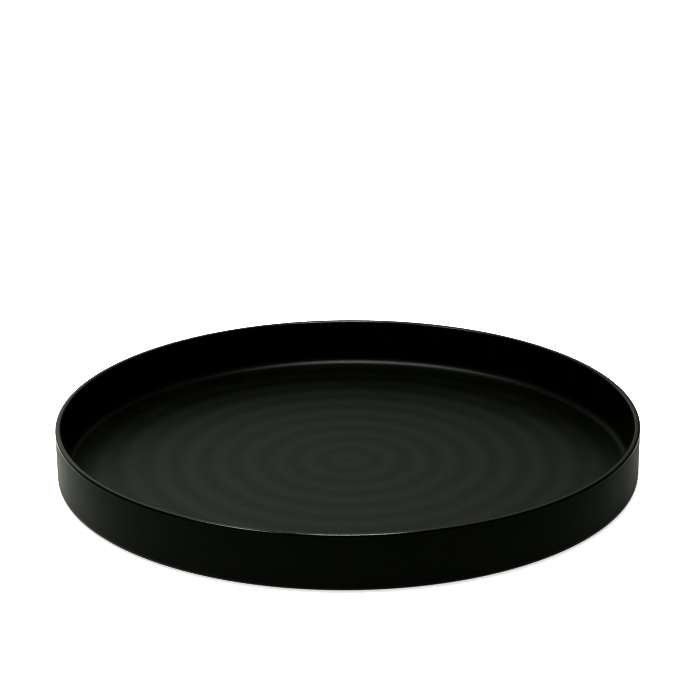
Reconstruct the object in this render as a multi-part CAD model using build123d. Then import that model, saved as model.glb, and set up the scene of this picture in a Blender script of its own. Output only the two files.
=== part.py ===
from build123d import *
import math
import os

# Round serving tray, moulded in one piece, standing on six non-slip foot pads.
# Origin: centre of the tray's base at the height of the surface it stands on. +Z up. Millimetres.

# Tray body
tray_diameter = 400.0
tray_height = 40.0
wall_thickness = 4.4
wall_draft = 0.6  # how much the wall leans outwards from base to rim
base_clearance = 1.0  # gap between the body and the table
floor_top_z = 6.6
rim_corner_radius = 1.6
cove_radius = 5.6  # inside, between floor and wall
base_corner_radius = 4.8

# Underside: a broad flat foot ring around a slightly raised centre
foot_ring_inner_radius = 150.0
recess_depth = 1.2
recess_step_width = 1.8
recess_step_radius = 1.0

# Floor ripples: shallow concentric rings, like the throwing rings of turned pottery
trough_count = 9
ripple_pitch = 20.2
ripple_height = 0.12  # trough to crest
first_trough_radius = 8.5  # inside it is a low mound at the centre of the floor

# Foot pads, each in its own pocket with a thin disc of adhesive above it
pad_count = 6
pad_circle_radius = 176.0
pad_diameter = 16.0
pad_edge_radius = 0.5
pocket_diameter = 16.4
pocket_depth = 1.0
adhesive_diameter = 15.0
adhesive_thickness = 0.3

tray_radius = tray_diameter / 2
pocket_roof_z = base_clearance + pocket_depth
pad_thickness = pocket_roof_z - adhesive_thickness


def ripple_lines():
    """Arcs along the floor from the outermost trough in to the axis, each tangent to the next."""
    half_pitch = ripple_pitch / 2
    arc_height = ripple_height / 2
    end_slope = 4 * arc_height / half_pitch
    last_trough = first_trough_radius + (trough_count - 1) * ripple_pitch
    arcs = []
    for step in range(2 * trough_count - 1):
        middle = last_trough - step * half_pitch
        outer = (middle + half_pitch / 2, floor_top_z)
        inner = (middle - half_pitch / 2, floor_top_z)
        rise = -arc_height if step % 2 == 0 else arc_height
        arcs.append(ThreePointArc(outer, (middle, floor_top_z + rise), inner))
    mound_radius = first_trough_radius - half_pitch / 2
    mound_height = end_slope * mound_radius / 2
    mound_sphere = (mound_radius**2 + mound_height**2) / (2 * mound_height)
    half_way = mound_radius / 2
    half_way_drop = mound_sphere - math.sqrt(mound_sphere**2 - half_way**2)
    arcs.append(
        ThreePointArc(
            (mound_radius, floor_top_z),
            (half_way, floor_top_z + mound_height - half_way_drop),
            (0, floor_top_z + mound_height),
        )
    )
    return arcs


def body_outline():
    """Half section of the tray body, in the plane of radius and height."""
    recess_roof_z = base_clearance + recess_depth
    ripples_end = first_trough_radius + (trough_count - 0.75) * ripple_pitch
    corners = [
        (0, recess_roof_z),
        (foot_ring_inner_radius - recess_step_width, recess_roof_z),
        (foot_ring_inner_radius, base_clearance),
        (tray_radius - wall_draft, base_clearance),
        (tray_radius, tray_height),
        (tray_radius - wall_thickness, tray_height),
        (tray_radius - wall_thickness - wall_draft, floor_top_z),
        (ripples_end, floor_top_z),
    ]
    radii = [
        recess_step_radius,
        recess_step_radius,
        base_corner_radius,
        rim_corner_radius,
        rim_corner_radius,
        cove_radius,
    ]
    shell = FilletPolyline(*corners, radius=radii)
    ripples = ripple_lines()
    axis_line = Line(ripples[-1] @ 1, (0, recess_roof_z))
    return shell.edges() + [arc.edge() for arc in ripples] + [axis_line.edge()]


def pad_places():
    """Centres of the pads, evenly spaced on one circle, in the plane of the table."""
    return [location.position for location in PolarLocations(pad_circle_radius, pad_count)]


def disc(diameter, bottom_z, thickness, place):
    """Upright cylinder standing at bottom_z over one pad's place."""
    shape = extrude(Circle(diameter / 2), amount=thickness)
    return Pos(place.X, place.Y, bottom_z) * shape


def tray_body():
    section = Plane.XZ * make_face(body_outline())
    body = revolve(section, axis=Axis.Z)
    for place in pad_places():
        body -= disc(pocket_diameter, base_clearance, pocket_depth, place)
    return body


def foot_pad(place):
    pad = disc(pad_diameter, 0, pad_thickness, place)
    bottom_edge = pad.edges().sort_by(Axis.Z)[0]
    return fillet(bottom_edge, pad_edge_radius)


def pad_adhesive(place):
    return disc(adhesive_diameter, pad_thickness, adhesive_thickness, place)


os.makedirs("parts", exist_ok=True)
export_step(tray_body(), "parts/tray_body.step")
for number, place in enumerate(pad_places(), start=1):
    export_step(foot_pad(place), f"parts/foot_pad_{number}.step")
    export_step(pad_adhesive(place), f"parts/pad_adhesive_{number}.step")
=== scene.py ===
"""Looks of the round serving tray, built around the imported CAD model. Metres, +Z up."""
import math

import bmesh
import bpy
from mathutils import Matrix, Vector


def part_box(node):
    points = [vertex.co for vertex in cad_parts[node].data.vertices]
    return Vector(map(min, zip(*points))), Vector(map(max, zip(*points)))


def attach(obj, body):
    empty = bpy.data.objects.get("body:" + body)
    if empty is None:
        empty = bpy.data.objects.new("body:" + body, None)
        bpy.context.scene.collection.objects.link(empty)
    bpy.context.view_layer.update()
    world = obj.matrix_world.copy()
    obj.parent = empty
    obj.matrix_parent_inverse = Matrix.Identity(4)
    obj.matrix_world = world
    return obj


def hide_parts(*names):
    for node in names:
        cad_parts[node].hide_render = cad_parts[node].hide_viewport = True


MM = 0.001

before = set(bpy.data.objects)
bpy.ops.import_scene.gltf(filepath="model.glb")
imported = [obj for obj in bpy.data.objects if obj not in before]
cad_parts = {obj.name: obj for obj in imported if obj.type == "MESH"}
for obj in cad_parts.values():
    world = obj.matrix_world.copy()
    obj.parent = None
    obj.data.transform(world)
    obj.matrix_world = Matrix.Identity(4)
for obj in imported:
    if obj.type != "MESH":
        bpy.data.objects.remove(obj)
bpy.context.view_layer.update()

# Places read from the CAD model
BODY_LOW, BODY_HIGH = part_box("tray_body")
RIM_RADIUS = BODY_HIGH.x
RIM_Z = BODY_HIGH.z
BASE_Z = BODY_LOW.z
AXIS = Vector((0.0, 0.0, 0.0))

# Section of the tray body, as in the CAD model
WALL = 4.4 * MM
WALL_DRAFT = 0.6 * MM
FLOOR_Z = 6.6 * MM
RIM_CORNER = 1.6 * MM
COVE = 5.6 * MM
BASE_CORNER = 4.8 * MM
RECESS_DEPTH = 1.2 * MM
FOOT_RING_INNER = 150.0 * MM
RECESS_STEP = 1.8 * MM
RECESS_CORNER = 1.0 * MM
TROUGH_COUNT = 9
RIPPLE_PITCH = 20.2 * MM
FIRST_TROUGH = 8.5 * MM
RIPPLE_HEIGHT = 0.12 * MM
RIPPLES_END = FIRST_TROUGH + (TROUGH_COUNT - 0.5) * RIPPLE_PITCH
POCKET_RADIUS = 8.2 * MM
POCKET_DEPTH = 1.0 * MM
# broken edge of each pocket, which the CAD model leaves sharp
POCKET_CHAMFER = 0.25 * MM

# Foot pads
PADS = range(1, 7)
PAD_FOOT_EDGE = 0.5 * MM
PAD_TOP_EDGE = 0.12 * MM
PAD_DISH_RADIUS = 5.5 * MM
PAD_DISH_DEPTH = 0.15 * MM

# Mesh density
SEGMENTS = 384
POCKET_SEGMENTS = 64
RIPPLE_STEPS = 10
CORNER_STEPS = 10
PAD_STEPS = 6
# rings of vertices on the recessed centre, as shares of its radius
RECESS_RINGS = (0.1, 0.3, 0.6, 0.8)
# width of the plain strip of faces beside the corners of the foot ring
EDGE_SUPPORT = 1.5 * MM
# angles in degrees over which an edge is sharp
TRAY_CREASE = 30
PAD_CREASE = 50

# Noises of all materials: scale, detail and roughness
GRAIN = (2600.0, 3.0, 0.6)
MOTTLE = (800.0, 2.0, 0.6)
BLOTCH = (45.0, 4.0, 0.55)
RUBBER_SKIN = (4200.0, 3.0, 0.6)
DUST = (700.0, 4.0, 0.65)
# the span that holds nearly all values of a noise
NOISE_SPAN = (0.3, 0.7)

# Melamine. A bump is its strength and its height.
TRAY_BLACK = 0.008
TROUGH_TINT = 0.3
BLOTCH_TINT = 0.2
MOTTLE_TINT = 0.4
TRAY_IOR = 1.4
TRAY_ROUGHNESS = 0.42
FOOT_ROUGHNESS = 0.25
RIM_ROUGHNESS = 0.12
BLOTCH_ROUGHNESS = 0.02
GRAIN_ROUGHNESS = 0.04
MOTTLE_IN_SKIN = 1.5
TRAY_BUMP = (0.2, 0.05 * MM)
# radii between which the tint of the troughs ends, and heights between which a finish starts or ends
TROUGHS_END = (RIPPLES_END - 8 * MM, RIPPLES_END)
FLOOR_STARTS = (FLOOR_Z - 2 * MM, FLOOR_Z - 1 * MM)
FOOT_ENDS = (BASE_Z + 0.6 * BASE_CORNER, BASE_Z + 1.1 * BASE_CORNER)
RIM_STARTS = (RIM_Z - 2.2 * MM, RIM_Z - 1.4 * MM)

# Silicone, with dust that gets thinner over the height that stands out of the pocket
RUBBER_GREY = 0.025
RUBBER_ROUGHNESS = 0.62
RUBBER_BUMP = (0.25, 0.05 * MM)
DUST_GREY = 0.06
DUST_ROUGHNESS = 0.85
DUST_SPAN = (0.45, 0.7)
DUST_HEIGHT = 0.5 * MM
DUST_SHARE_ABOVE = 0.2

# Adhesive film
BUBBLE_SCALE = 1500.0
BUBBLE_EDGE = (0.12, 0.2)
BUBBLE_COLOUR = (0.62, 0.6, 0.55, 1.0)
BUBBLE_ROUGHNESS = 0.3
FILM_COLOUR = (0.75, 0.73, 0.68, 1.0)
FILM_ROUGHNESS = 0.5
FILM_BUMP = (0.2, 0.03 * MM)

# Studio floor: a card that the camera sees lit up to white
CARD_SIZE = 30.0
CARD_GREY = 0.7
CARD_LIFT = 0.82
# what the tray reflects of the card: a darker grey with a painted glow for the light on it, strongest
# towards this azimuth and fading to painted shade on the far side
CARD_DIM_GREY = 0.3
CARD_PAINTED_LIGHT = 1.55
CARD_LIT_SIDE = 125
CARD_SHADE_SHARE = 0.36
CARD_FADE = 0.25

# Light
LIGHT_COLOUR = (0.985, 1.0, 0.95)
BACKDROP_WHITE = 1.2
# azimuth and elevation in degrees, tightness, strength
WORLD_GLOWS = [
    (106, 30, 12.0, 2.5),
    (66, 45, 12.0, 1.7),
    (130, 15, 20.0, 1.2),
    (180, 20, 10.0, 1.0),
    (0, 20, 10.0, 0.6),
    (225, 12, 12.0, 1.0),
    (270, 12, 12.0, 0.6),
    (315, 12, 12.0, 1.0),
]
# name, place, size, watts. They hang level and shine straight down.
SOFTBOXES = [
    ("softbox_left", (-0.47, -0.15, 1.05), (0.3, 0.75), 16.5),
    ("softbox_middle", (0.02, -0.15, 1.05), (0.38, 0.75), 23.5),
    ("softbox_back", (-0.14, 0.80, 1.0), (0.8, 0.4), 2.5),
]

# Camera, in front of the tray and turned off its centre: lens in millimetres, angles in degrees
SENSOR_WIDTH = 36.0
CAMERA_LENS = 128.5
CAMERA_DISTANCE = 1.731
CAMERA_ELEVATION = 22.72
CAMERA_PITCH = -2.733
CAMERA_YAW = 0.064
CAMERA_ROLL = 0.37

# View
CONTRAST = 2.2
BLACK_LEVEL = (0.022, 0.016, 0.0245)


def fillet_path(corners, radii, steps):
    """Points along straight runs through the corners, each corner rounded to its radius."""
    path = [Vector(corners[0])]
    for before, corner, after, radius in zip(corners, corners[1:], corners[2:], radii):
        corner = Vector(corner)
        inward = (Vector(before) - corner).normalized()
        outward = (Vector(after) - corner).normalized()
        half_angle = inward.angle(outward) / 2
        middle = corner + (inward + outward).normalized() * (radius / math.sin(half_angle))
        start = corner + inward * (radius / math.tan(half_angle))
        end = corner + outward * (radius / math.tan(half_angle))
        first = start - middle
        turn = first.angle_signed(end - middle)
        for step in range(steps + 1):
            angle = -turn * step / steps
            path.append(middle + Matrix.Rotation(angle, 2) @ first)
    path.append(Vector(corners[-1]))
    return path


def ripple_z(radius):
    """Height of the ripples over the middle level of the floor. They fade out over the last one."""
    wave = -math.cos(2 * math.pi * (radius - FIRST_TROUGH) / RIPPLE_PITCH)
    fade = min(1.0, max(0.0, (RIPPLES_END - radius) / RIPPLE_PITCH))
    return RIPPLE_HEIGHT / 2 * wave * fade * fade * (3 - 2 * fade)


def ripple_path():
    """Points along the rippled floor, from its outer end in to the axis."""
    step = RIPPLE_PITCH / RIPPLE_STEPS
    count = int(RIPPLES_END / step)
    points = []
    for index in range(count):
        radius = RIPPLES_END - index * step
        points.append(Vector((radius, FLOOR_Z + ripple_z(radius))))
    points.append(Vector((0.0, FLOOR_Z + ripple_z(0.0))))
    return points


def new_object(name, bm):
    """A new object in the scene with the mesh built in bm."""
    mesh = bpy.data.meshes.new(name)
    bm.to_mesh(mesh)
    bm.free()
    piece = bpy.data.objects.new(name, mesh)
    bpy.context.scene.collection.objects.link(piece)
    return piece


def ring(bm, radius, z, segments, centre):
    """A closed ring of vertices round a centre, or one vertex where the radius is nothing."""
    if radius == 0:
        return [bm.verts.new((centre.x, centre.y, z))]
    turn = 2 * math.pi / segments
    return [
        bm.verts.new((centre.x + radius * math.cos(turn * i), centre.y + radius * math.sin(turn * i), z))
        for i in range(segments)
    ]


def join_rings(bm, first, second):
    """Faces between two rings, or a fan from a ring to a single vertex."""
    count = max(len(first), len(second))
    for i in range(count):
        j = (i + 1) % count
        if len(first) == 1:
            bm.faces.new((first[0], second[j], second[i]))
        elif len(second) == 1:
            bm.faces.new((first[i], first[j], second[0]))
        else:
            bm.faces.new((first[i], first[j], second[j], second[i]))


def turned(bm, path, segments, centre=AXIS):
    """Surface of revolution through points of radius and height. Returns its first and last ring."""
    rings = [ring(bm, max(0.0, p.x), p.y, segments, centre) for p in path]
    for first, second in zip(rings, rings[1:]):
        join_rings(bm, first, second)
    return rings[0], rings[-1]


def loop_edges(bm, verts):
    """Edges round a closed ring of vertices."""
    return [bm.edges.get((verts[i], verts[(i + 1) % len(verts)])) for i in range(len(verts))]


def finish_surface(bm, crease):
    """Normals outwards, smooth shading, and sharp edges where faces meet at more than the crease angle."""
    bmesh.ops.recalc_face_normals(bm, faces=bm.faces)
    for face in bm.faces:
        face.smooth = True
    for edge in bm.edges:
        if len(edge.link_faces) == 2 and edge.calc_face_angle() > math.radians(crease):
            edge.smooth = False


def build_tray():
    """Body of the tray as one turned surface, with a round pocket in the foot ring for each pad."""
    roof = BASE_Z + RECESS_DEPTH
    inner = RIM_RADIUS - WALL
    base_edge = RIM_RADIUS - WALL_DRAFT
    ripples = ripple_path()
    bm = bmesh.new()
    # the recessed centre of the underside, as far as the foot ring's flat
    recess = fillet_path(
        [(0.0, roof), (FOOT_RING_INNER - RECESS_STEP, roof), (FOOT_RING_INNER, BASE_Z),
         (FOOT_RING_INNER + EDGE_SUPPORT, BASE_Z)],
        [RECESS_CORNER, RECESS_CORNER], CORNER_STEPS)
    rings = [Vector((recess[1].x * share, roof)) for share in RECESS_RINGS]
    recess_edge = turned(bm, recess[:1] + rings + recess[1:], SEGMENTS)[1]
    # up the outside, over the rim, down the inside and in along the floor
    shell = fillet_path(
        [(base_edge - BASE_CORNER - EDGE_SUPPORT, BASE_Z), (base_edge, BASE_Z), (RIM_RADIUS, RIM_Z),
         (inner, RIM_Z), (inner - WALL_DRAFT, FLOOR_Z), tuple(ripples[0])],
        [BASE_CORNER, RIM_CORNER, RIM_CORNER, COVE], CORNER_STEPS)
    shell_edge = turned(bm, shell + ripples[1:], SEGMENTS)[0]
    # the foot ring's flat with its pockets
    edges = loop_edges(bm, recess_edge) + loop_edges(bm, shell_edge)
    pocket = [
        Vector((POCKET_RADIUS + POCKET_CHAMFER, BASE_Z)),
        Vector((POCKET_RADIUS, BASE_Z + POCKET_CHAMFER)),
        Vector((POCKET_RADIUS, BASE_Z + POCKET_DEPTH)),
        Vector((0.0, BASE_Z + POCKET_DEPTH)),
    ]
    for number in PADS:
        low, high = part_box(f"foot_pad_{number}")
        edges += loop_edges(bm, turned(bm, pocket, POCKET_SEGMENTS, (low + high) / 2)[0])
    bmesh.ops.triangle_fill(bm, use_beauty=True, use_dissolve=False, edges=edges, normal=(0, 0, -1))
    finish_surface(bm, TRAY_CREASE)
    return new_object("tray_shell", bm)


def build_pad(number):
    """Non-slip pad: a disc with a rounded foot and a broken top edge, a little hollow underneath."""
    low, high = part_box(f"foot_pad_{number}")
    radius = (high.x - low.x) / 2
    outline = fillet_path(
        [(PAD_DISH_RADIUS, low.z), (radius, low.z), (radius, high.z), (0.0, high.z)],
        [PAD_FOOT_EDGE, PAD_TOP_EDGE], PAD_STEPS)
    dish = [
        Vector((PAD_DISH_RADIUS * step / PAD_STEPS,
                low.z + PAD_DISH_DEPTH * math.cos(math.pi / 2 * step / PAD_STEPS) ** 2))
        for step in range(PAD_STEPS)
    ]
    bm = bmesh.new()
    turned(bm, dish + outline, POCKET_SEGMENTS, (low + high) / 2)
    finish_surface(bm, PAD_CREASE)
    return new_object(f"pad_{number}", bm)


class Nodes:
    """Short calls for building a node tree."""

    def __init__(self, tree):
        self.tree = tree

    def add(self, kind, inputs=None, **settings):
        node = self.tree.nodes.new(kind)
        for key, value in settings.items():
            setattr(node, key, value)
        for key, value in (inputs or {}).items():
            self.put(node.inputs[key], value)
        return node

    def put(self, socket, value):
        if isinstance(value, bpy.types.NodeSocket):
            self.tree.links.new(value, socket)
        else:
            socket.default_value = value

    def math(self, operation, a, b=0.0, c=0.0):
        node = self.add("ShaderNodeMath", operation=operation)
        for socket, value in zip(node.inputs, (a, b, c)):
            self.put(socket, value)
        return node.outputs[0]

    def dot(self, a, b):
        node = self.add("ShaderNodeVectorMath", operation="DOT_PRODUCT")
        self.put(node.inputs[0], a)
        self.put(node.inputs[1], b)
        return node.outputs["Value"]

    def ramp(self, value, low, high, out_low=0.0, out_high=1.0):
        """A value between low and high, spread over another span and held at its ends."""
        inputs = {"Value": value, "From Min": low, "From Max": high, "To Min": out_low, "To Max": out_high}
        return self.add("ShaderNodeMapRange", inputs).outputs["Result"]

    def noise(self, position, scale, detail, roughness):
        inputs = {"Vector": position, "Scale": scale, "Detail": detail, "Roughness": roughness}
        return self.add("ShaderNodeTexNoise", inputs).outputs["Fac"]

    def mix(self, factor, a, b):
        """Mix of two colours. The node keeps them in sockets 6 and 7, and the result in output 2."""
        node = self.add("ShaderNodeMix", data_type="RGBA")
        self.put(node.inputs[0], factor)
        self.put(node.inputs[6], a)
        self.put(node.inputs[7], b)
        return node.outputs[2]

    def colour(self, red, green, blue):
        return self.add("ShaderNodeCombineColor", {"Red": red, "Green": green, "Blue": blue}).outputs[0]

    def for_camera(self):
        """1 for what the camera sees straight on, and 0 for what the tray reflects."""
        return self.add("ShaderNodeLightPath").outputs["Is Camera Ray"]


class Material(Nodes):
    """The nodes of one new material, with its shader and the place on the object."""

    def __init__(self, name):
        self.material = bpy.data.materials.new(name)
        self.material.use_nodes = True
        super().__init__(self.material.node_tree)
        self.shader = next(n for n in self.tree.nodes if n.type == "BSDF_PRINCIPLED")
        self.position = self.add("ShaderNodeTexCoord").outputs["Object"]

    def split_position(self):
        return self.add("ShaderNodeSeparateXYZ", {"Vector": self.position}).outputs

    def set(self, name, value):
        self.put(self.shader.inputs[name], value)

    def set_bump(self, height, strength, distance):
        bump = self.add("ShaderNodeBump", {"Height": height, "Strength": strength, "Distance": distance})
        self.set("Normal", bump.outputs["Normal"])


def grey(value):
    return (value, value, value, 1.0)


def melamine():
    """Satin black moulding: lighter in the troughs, burnished round the rim, with a fine skin."""
    nodes = Material("melamine_black")
    x, y, z = nodes.split_position()
    squares = nodes.math("ADD", nodes.math("MULTIPLY", x, x), nodes.math("MULTIPLY", y, y))
    radius = nodes.math("SQRT", squares)
    grain = nodes.noise(nodes.position, *GRAIN)
    mottle = nodes.noise(nodes.position, *MOTTLE)
    blotch = nodes.noise(nodes.position, *BLOTCH)
    black = nodes.math("MULTIPLY", melamine_tint(nodes, radius, z, mottle, blotch), TRAY_BLACK)
    nodes.set("Base Color", nodes.colour(black, black, black))
    nodes.set("Roughness", melamine_roughness(nodes, radius, z, grain, blotch))
    nodes.set("IOR", TRAY_IOR)
    skin = nodes.math("ADD", grain, nodes.math("MULTIPLY", mottle, MOTTLE_IN_SKIN))
    nodes.set_bump(skin, *TRAY_BUMP)
    return nodes.material


def melamine_tint(nodes, radius, z, mottle, blotch):
    """Factor for the black: lighter in the troughs inside, and uneven all over."""
    past_trough = nodes.math("SUBTRACT", radius, FIRST_TROUGH)
    wave = nodes.math("COSINE", nodes.math("MULTIPLY", past_trough, 2 * math.pi / RIPPLE_PITCH))
    within = nodes.ramp(radius, *TROUGHS_END, 1.0, 0.0)
    trough = nodes.math("MULTIPLY", wave, nodes.math("MULTIPLY", within, nodes.ramp(z, *FLOOR_STARTS)))
    tint = nodes.math("ADD", 1.0, nodes.math("MULTIPLY", trough, TROUGH_TINT))
    for noise, depth in ((blotch, BLOTCH_TINT), (mottle, MOTTLE_TINT)):
        tint = nodes.math("MULTIPLY", tint, nodes.ramp(noise, *NOISE_SPAN, 1 - depth, 1 + depth))
    return tint


def melamine_roughness(nodes, radius, z, grain, blotch):
    """Satin all over, smoother on the rounded corner under the wall and smoothest on the rim."""
    outside = nodes.math("GREATER_THAN", radius, RIM_RADIUS - WALL / 2)
    foot = nodes.math("MULTIPLY", nodes.ramp(z, *FOOT_ENDS, 1.0, 0.0), outside)
    rim = nodes.ramp(z, *RIM_STARTS)
    rough = nodes.ramp(foot, 0.0, 1.0, TRAY_ROUGHNESS, FOOT_ROUGHNESS)
    rough = nodes.ramp(rim, 0.0, 1.0, rough, RIM_ROUGHNESS)
    for noise, depth in ((blotch, BLOTCH_ROUGHNESS), (grain, GRAIN_ROUGHNESS)):
        rough = nodes.math("ADD", rough, nodes.ramp(noise, *NOISE_SPAN, -depth, depth))
    return rough


def silicone():
    """Dull black rubber, picking up grey dust where it meets the table."""
    nodes = Material("pad_silicone")
    z = nodes.split_position()["Z"]
    dust = nodes.ramp(nodes.noise(nodes.position, *DUST), *DUST_SPAN)
    dust = nodes.math("MULTIPLY", dust, nodes.ramp(z, 0.0, DUST_HEIGHT, 1.0, DUST_SHARE_ABOVE))
    nodes.set("Base Color", nodes.mix(dust, grey(RUBBER_GREY), grey(DUST_GREY)))
    nodes.set("Roughness", nodes.ramp(dust, 0.0, 1.0, RUBBER_ROUGHNESS, DUST_ROUGHNESS))
    nodes.set_bump(nodes.noise(nodes.position, *RUBBER_SKIN), *RUBBER_BUMP)
    return nodes.material


def adhesive_film():
    """Pale acrylic film with small trapped bubbles."""
    nodes = Material("pad_adhesive_film")
    bubbles = nodes.add("ShaderNodeTexVoronoi", {"Vector": nodes.position, "Scale": BUBBLE_SCALE})
    clear = nodes.ramp(bubbles.outputs["Distance"], *BUBBLE_EDGE)
    nodes.set("Base Color", nodes.mix(clear, BUBBLE_COLOUR, FILM_COLOUR))
    nodes.set("Roughness", nodes.ramp(clear, 0.0, 1.0, BUBBLE_ROUGHNESS, FILM_ROUGHNESS))
    nodes.set_bump(clear, *FILM_BUMP)
    return nodes.material


def direction(azimuth, elevation):
    """Unit vector towards an azimuth and elevation in degrees."""
    azimuth = math.radians(azimuth)
    elevation = math.radians(elevation)
    level = math.cos(elevation)
    return Vector((level * math.cos(azimuth), level * math.sin(azimuth), math.sin(elevation)))


def card():
    """Pale card. The camera sees it lit up to white; the tray reflects it darker, with a painted glow that
    fades to painted shade on one side.
    """
    nodes = Material("studio_floor")
    seen = nodes.for_camera()
    # painted light and shade in what the tray reflects: the glow is full on the lit side and drops to a
    # share of it on the shaded side
    across = nodes.dot(nodes.position, direction(CARD_LIT_SIDE, 0))
    share = nodes.ramp(across, -CARD_FADE, CARD_FADE, CARD_SHADE_SHARE, 1.0)
    glow = nodes.math("MULTIPLY", share, CARD_PAINTED_LIGHT)
    nodes.set("Base Color", nodes.mix(seen, grey(CARD_DIM_GREY), grey(CARD_GREY)))
    nodes.set("Roughness", 1.0)
    nodes.set("Specular IOR Level", 0.0)
    nodes.set("Emission Color", nodes.mix(seen, (*LIGHT_COLOUR, 1.0), grey(1.0)))
    nodes.set("Emission Strength", nodes.ramp(seen, 0.0, 1.0, glow, CARD_LIFT))
    return nodes.material


def build_floor():
    """A wide card under the tray. It isn't part of the object."""
    bm = bmesh.new()
    bmesh.ops.create_grid(bm, x_segments=1, y_segments=1, size=CARD_SIZE)
    floor = new_object("studio_floor", bm)
    floor.data.materials.append(card())


def build_world():
    """White to the camera. The tray reflects a dark studio with soft glows on its walls."""
    world = bpy.data.worlds.new("studio_world")
    world.use_nodes = True
    nodes = Nodes(world.node_tree)
    towards = nodes.add("ShaderNodeTexCoord").outputs["Generated"]
    light = 0.0
    for azimuth, elevation, tightness, strength in WORLD_GLOWS:
        facing = nodes.math("MAXIMUM", nodes.dot(towards, direction(azimuth, elevation)), 0.0)
        glow = nodes.math("POWER", facing, tightness)
        light = nodes.math("MULTIPLY_ADD", glow, strength, light)
    lit = nodes.colour(*(nodes.math("MULTIPLY", light, share) for share in LIGHT_COLOUR))
    backdrop = nodes.mix(nodes.for_camera(), lit, grey(BACKDROP_WHITE))
    nodes.put(world.node_tree.nodes["Background"].inputs["Color"], backdrop)
    bpy.context.scene.world = world


def add_softbox(name, place, size, watts):
    data = bpy.data.lights.new(name, "AREA")
    data.energy = watts
    data.color = LIGHT_COLOUR
    data.shape = "RECTANGLE"
    data.size, data.size_y = size
    lamp = bpy.data.objects.new(name, data)
    lamp.location = place
    bpy.context.scene.collection.objects.link(lamp)


def build_camera():
    """Camera on the centre line in front of the tray, aimed at its middle and then turned."""
    elevation = math.radians(CAMERA_ELEVATION)
    back = Vector((0.0, -math.cos(elevation), math.sin(elevation)))
    right = Vector((1.0, 0.0, 0.0))
    up = back.cross(right)
    base = Matrix((right, up, back)).transposed()
    turn = (Matrix.Rotation(math.radians(CAMERA_YAW), 3, "Y").inverted()
            @ Matrix.Rotation(math.radians(CAMERA_PITCH), 3, "X").inverted()
            @ Matrix.Rotation(math.radians(CAMERA_ROLL), 3, "Z").inverted())
    data = bpy.data.cameras.new("camera")
    data.sensor_width = SENSOR_WIDTH
    data.lens = CAMERA_LENS
    camera = bpy.data.objects.new("camera", data)
    camera.matrix_world = Matrix.Translation(back * CAMERA_DISTANCE) @ (base @ turn).to_4x4()
    bpy.context.scene.collection.objects.link(camera)
    bpy.context.scene.camera = camera


def grade():
    """The deep contrast of a product picture: black level and contrast, white kept white."""
    view = bpy.context.scene.view_settings
    view.view_transform = "Standard"
    view.gamma = 1 / CONTRAST
    view.use_curve_mapping = True
    view.curve_mapping.black_level = BLACK_LEVEL
    view.curve_mapping.update()


tray = build_tray()
tray.data.materials.append(melamine())
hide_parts("tray_body")
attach(tray, "root")

rubber = silicone()
film = adhesive_film()
for number in PADS:
    pad = build_pad(number)
    pad.data.materials.append(rubber)
    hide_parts(f"foot_pad_{number}")
    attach(pad, "root")
    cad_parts[f"pad_adhesive_{number}"].material_slots[0].material = film

build_floor()
build_world()
for name, place, size, watts in SOFTBOXES:
    add_softbox(name, place, size, watts)
build_camera()
grade()
